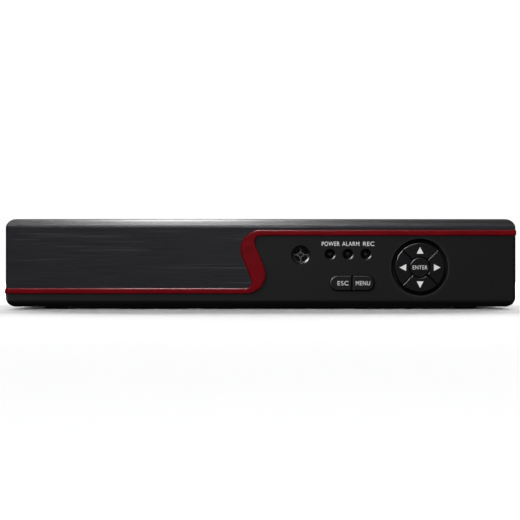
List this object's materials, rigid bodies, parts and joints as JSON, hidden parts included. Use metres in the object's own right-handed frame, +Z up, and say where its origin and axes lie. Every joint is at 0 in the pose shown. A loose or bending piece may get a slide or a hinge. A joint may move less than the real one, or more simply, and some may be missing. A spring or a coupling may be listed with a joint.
{
  "type": "desktop video recorder",
  "caption": "Low, wide video recorder: moulded black front with an S-shaped red strip and push keys, sheet-metal case, rear sockets and a fan.",
  "frame": {"origin": "middle of the footprint, at the plane the four feet stand on", "axes": "+X to the right seen from the front, front face towards -Y, +Z up"},
  "size_m": [0.3, 0.2266, 0.053],
  "materials": {
    "black_plastic": "fine satin black moulding",
    "brushed_fascia": "black film with a fine horizontal brushed grain",
    "red_gloss": "dark red gloss strip",
    "key_plastic": "satin black keys with printed marks",
    "stem_plastic": "moulded stem",
    "circuit_board": "green solder mask",
    "zinc_screws": "bright zinc plated",
    "switch_body": "moulded switch bodies",
    "lamp_lens": "clear water-white lamps",
    "tinned_metal": "tinned folded metal",
    "smoked_lens": "dark infrared-clear lens",
    "ribbon": "grey flat cable",
    "black_sheet": "black powder coat",
    "zinc_sheet": "zinc coated sheet steel",
    "foot_rubber": "black rubber",
    "chip_black": "moulded packages",
    "bare_aluminium": "plain milled finish",
    "capacitor_sleeve": "shrink sleeve",
    "cell_steel": "polished cell",
    "connector_black": "black connector moulding",
    "nickel_plate": "bright nickel plate",
    "white_insulator": "white insulator",
    "gilt_contact": "gilt contact",
    "blue_insert": "blue contact insert",
    "drive_cast": "cast body",
    "drive_lid_metal": "stamped lid",
    "fan_black": "black moulded fan",
    "lead_red": "red jacket",
    "lead_black": "black jacket"
  },
  "bodies": {
    "case": {"bezel_screws": "zinc_screws", "bnc_blocks": "connector_black", "bnc_contacts": "gilt_contact", "bnc_insulators": "white_insulator", "bnc_shells": "nickel_plate", "board_screws": "zinc_screws", "bottom_tray": "zinc_sheet", "coin_cell": "cell_steel", "cover_screws": "zinc_screws", "data_lead": "lead_red", "dc_jack": "connector_black", "display_insert": "blue_insert", "display_nuts": "nickel_plate", "display_shell": "tinned_metal", "drive_board": "circuit_board", "drive_case": "drive_cast", "drive_lid": "drive_lid_metal", "drive_screws": "zinc_screws", "fan_frame": "fan_black", "fan_screws": "zinc_screws", "filter_capacitors": "capacitor_sleeve", "front_bezel": "black_plastic", "hd_shell": "tinned_metal", "heat_sink": "bare_aluminium", "indicator_lamps": "lamp_lens", "key_board": "circuit_board", "key_board_screws": "zinc_screws", "lan_insert": "connector_black", "lan_shield": "tinned_metal", "logic_chips": "chip_black", "main_board": "circuit_board", "power_lead": "lead_black", "processor": "chip_black", "rca_block": "connector_black", "rca_rings": "nickel_plate", "red_trim": "red_gloss", "remote_receiver": "smoked_lens", "ribbon_cable": "ribbon", "rubber_feet": "foot_rubber", "socket_tongues": "connector_black", "tact_switches": "switch_body", "top_cover": "black_sheet", "upper_fascia": "brushed_fascia", "usb_shell": "tinned_metal", "window_shield": "tinned_metal"},
    "right_button": {"right_key": "key_plastic", "right_stem": "stem_plastic"},
    "up_button": {"up_key": "key_plastic", "up_stem": "stem_plastic"},
    "left_button": {"left_key": "key_plastic", "left_stem": "stem_plastic"},
    "down_button": {"down_key": "key_plastic", "down_stem": "stem_plastic"},
    "esc_button": {"esc_key": "key_plastic", "esc_stem": "stem_plastic"},
    "menu_button": {"menu_key": "key_plastic", "menu_stem": "stem_plastic"},
    "enter_button": {"enter_key": "key_plastic", "enter_stem": "stem_plastic"},
    "rotor": {"fan_rotor": "fan_black"}
  },
  "joints": [
    {"name": "right_press", "type": "slide", "parent": "case", "child": "right_button", "axis": [0, 1, 0], "range_m": [0, 0.0005], "stiffness_N_per_m": 1500, "springref_m": -0.0003},
    {"name": "up_press", "type": "slide", "parent": "case", "child": "up_button", "axis": [0, 1, 0], "range_m": [0, 0.0005], "stiffness_N_per_m": 1500, "springref_m": -0.0003},
    {"name": "left_press", "type": "slide", "parent": "case", "child": "left_button", "axis": [0, 1, 0], "range_m": [0, 0.0005], "stiffness_N_per_m": 1500, "springref_m": -0.0003},
    {"name": "down_press", "type": "slide", "parent": "case", "child": "down_button", "axis": [0, 1, 0], "range_m": [0, 0.0005], "stiffness_N_per_m": 1500, "springref_m": -0.0003},
    {"name": "esc_press", "type": "slide", "parent": "case", "child": "esc_button", "axis": [0, 1, 0], "range_m": [0, 0.0005], "stiffness_N_per_m": 1500, "springref_m": -0.0003},
    {"name": "menu_press", "type": "slide", "parent": "case", "child": "menu_button", "axis": [0, 1, 0], "range_m": [0, 0.0005], "stiffness_N_per_m": 1500, "springref_m": -0.0003},
    {"name": "enter_press", "type": "slide", "parent": "case", "child": "enter_button", "axis": [0, 1, 0], "range_m": [0, 0.0005], "stiffness_N_per_m": 1500, "springref_m": -0.0003},
    {"name": "fan_spin", "type": "hinge", "parent": "case", "child": "rotor", "pos_m": [-0.095, 0.09525, 0.0264], "axis": [0, 1, 0], "continuous": true}
  ]
}
